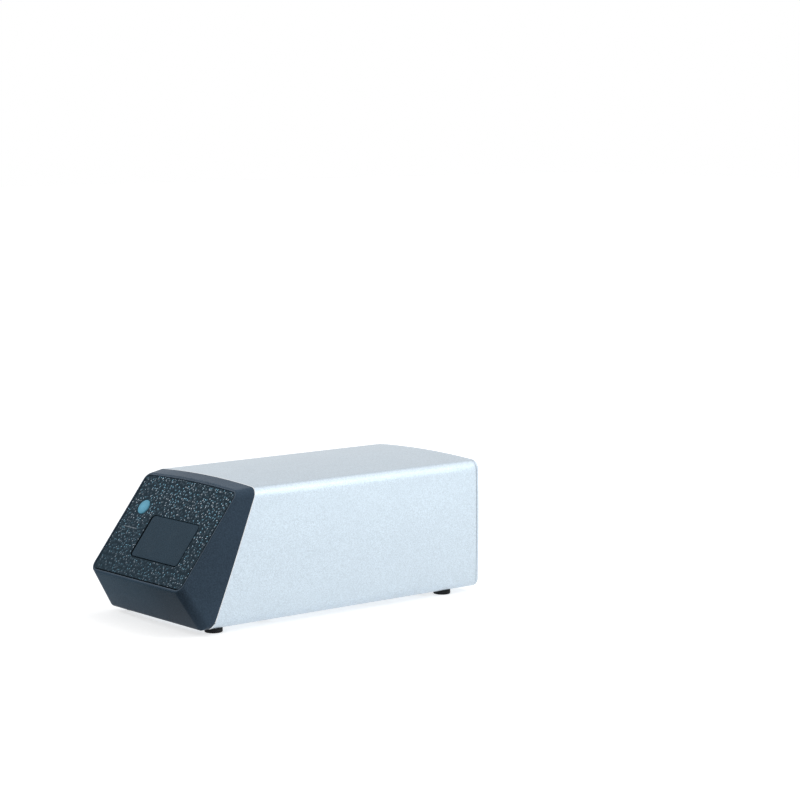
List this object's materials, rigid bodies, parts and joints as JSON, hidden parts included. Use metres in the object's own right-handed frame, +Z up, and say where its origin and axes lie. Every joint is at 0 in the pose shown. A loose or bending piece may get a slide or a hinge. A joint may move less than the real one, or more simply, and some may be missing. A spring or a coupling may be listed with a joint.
{
  "type": "dental imaging-plate scanner",
  "caption": "Desktop imaging-plate scanner: silver tube housing, raked black textured front, and a motor-driven tray that carries the plate past the laser.",
  "frame": {"origin": "bottom centre of the device's box: on the table under the middle of the length and width", "axes": "+Z up, +X across to the device's left seen from the front, the raked front faces -Y"},
  "size_m": [0.096, 0.2091, 0.079],
  "materials": {
    "sleeve_alu": "bead-blasted satin anodised",
    "bezel_plastic": "satin moulded",
    "panel_black": "glossy pebble grain",
    "tray_face_plastic": "fine matte",
    "status_light": "lit diffuser",
    "foot_rubber": "matte",
    "rear_alu": "satin anodised",
    "screw_black": "black oxide",
    "socket_black": "moulded",
    "socket_shell": "nickel plated",
    "rocker_black": "moulded",
    "chassis_alu": "milled",
    "rod_steel": "ground",
    "screw_steel": "rolled",
    "bearing_steel": "ground",
    "bronze": "machined",
    "carriage_plastic": "moulded",
    "tray_plastic": "fine matte",
    "magnet_nickel": "nickel plated",
    "motor_steel": "painted laminations",
    "coupling_alu": "turned",
    "board_green": "solder mask",
    "chip_black": "moulded epoxy",
    "brass_posts": "turned",
    "deck_black": "black anodised",
    "laser_brass": "turned",
    "mirror_glass": "front coated",
    "lens_glass": "polished",
    "guide_acrylic": "polished acrylic",
    "filter_blue": "polished",
    "detector_metal": "drawn can",
    "led_white": "moulded",
    "flag_steel": "blackened"
  },
  "bodies": {
    "housing": {"housing_sleeve": "sleeve_alu", "front_bezel": "bezel_plastic", "front_panel": "panel_black", "status_window": "status_light", "status_board": "board_green", "rear_panel": "rear_alu", "rear_screws": "screw_black", "underside_screws": "screw_black", "feet": "foot_rubber", "switch_frame": "socket_black", "power_inlet": "socket_black", "data_socket": "socket_shell", "chassis_plate": "chassis_alu", "guide_block_front": "chassis_alu", "guide_block_rear": "chassis_alu", "guide_rods": "rod_steel", "screw_bearings": "bearing_steel", "motor_bracket": "chassis_alu", "stepper_motor": "motor_steel", "home_sensor": "chip_black", "main_board": "board_green", "board_standoffs": "brass_posts", "board_chips": "chip_black", "deck_posts": "brass_posts", "optics_deck": "deck_black", "laser_module": "laser_brass", "laser_saddle": "deck_black", "scanner_motor": "motor_steel", "scan_lens": "lens_glass", "fold_mirror": "mirror_glass", "fold_mirror_mount": "deck_black", "light_guide": "guide_acrylic", "blue_filter": "filter_blue", "photomultiplier": "detector_metal", "photomultiplier_clamp": "deck_black", "erase_board": "board_green", "erase_lamps": "led_white", "connector_board": "board_green"},
    "tray": {"tray_front": "tray_face_plastic", "plate_tray": "tray_plastic", "tray_magnets": "magnet_nickel", "tray_carriage": "carriage_plastic", "slide_bushings": "bronze", "lead_nut": "bronze", "sensor_flag": "flag_steel"},
    "drive_screw": {"lead_screw": "screw_steel", "shaft_coupling": "coupling_alu", "motor_shaft": "screw_steel"},
    "scanner": {"scan_mirror": "mirror_glass"},
    "rocker": {"power_rocker": "rocker_black"}
  },
  "joints": [
    {"name": "tray_slide", "type": "slide", "parent": "housing", "child": "tray", "axis": [0, 1, 0], "range_m": [-0.064, 0.046]},
    {"name": "screw_turn", "type": "hinge", "parent": "housing", "child": "drive_screw", "pos_m": [0.006, 0, 0.031], "axis": [0, 1, 0], "range_deg": [-2881, 2071]},
    {"name": "mirror_swing", "type": "hinge", "parent": "housing", "child": "scanner", "pos_m": [0.006, 0.03535, 0.067], "axis": [0, 0, 1], "range_deg": [-10, 10]},
    {"name": "switch_rock", "type": "hinge", "parent": "housing", "child": "rocker", "pos_m": [0.028, 0.09985, 0.055], "axis": [1, 0, 0], "range_deg": [0, 16]}
  ],
  "couplings": [
    {"joint": "screw_turn", "follows": "tray_slide", "rad_per_m": 785.4}
  ]
}
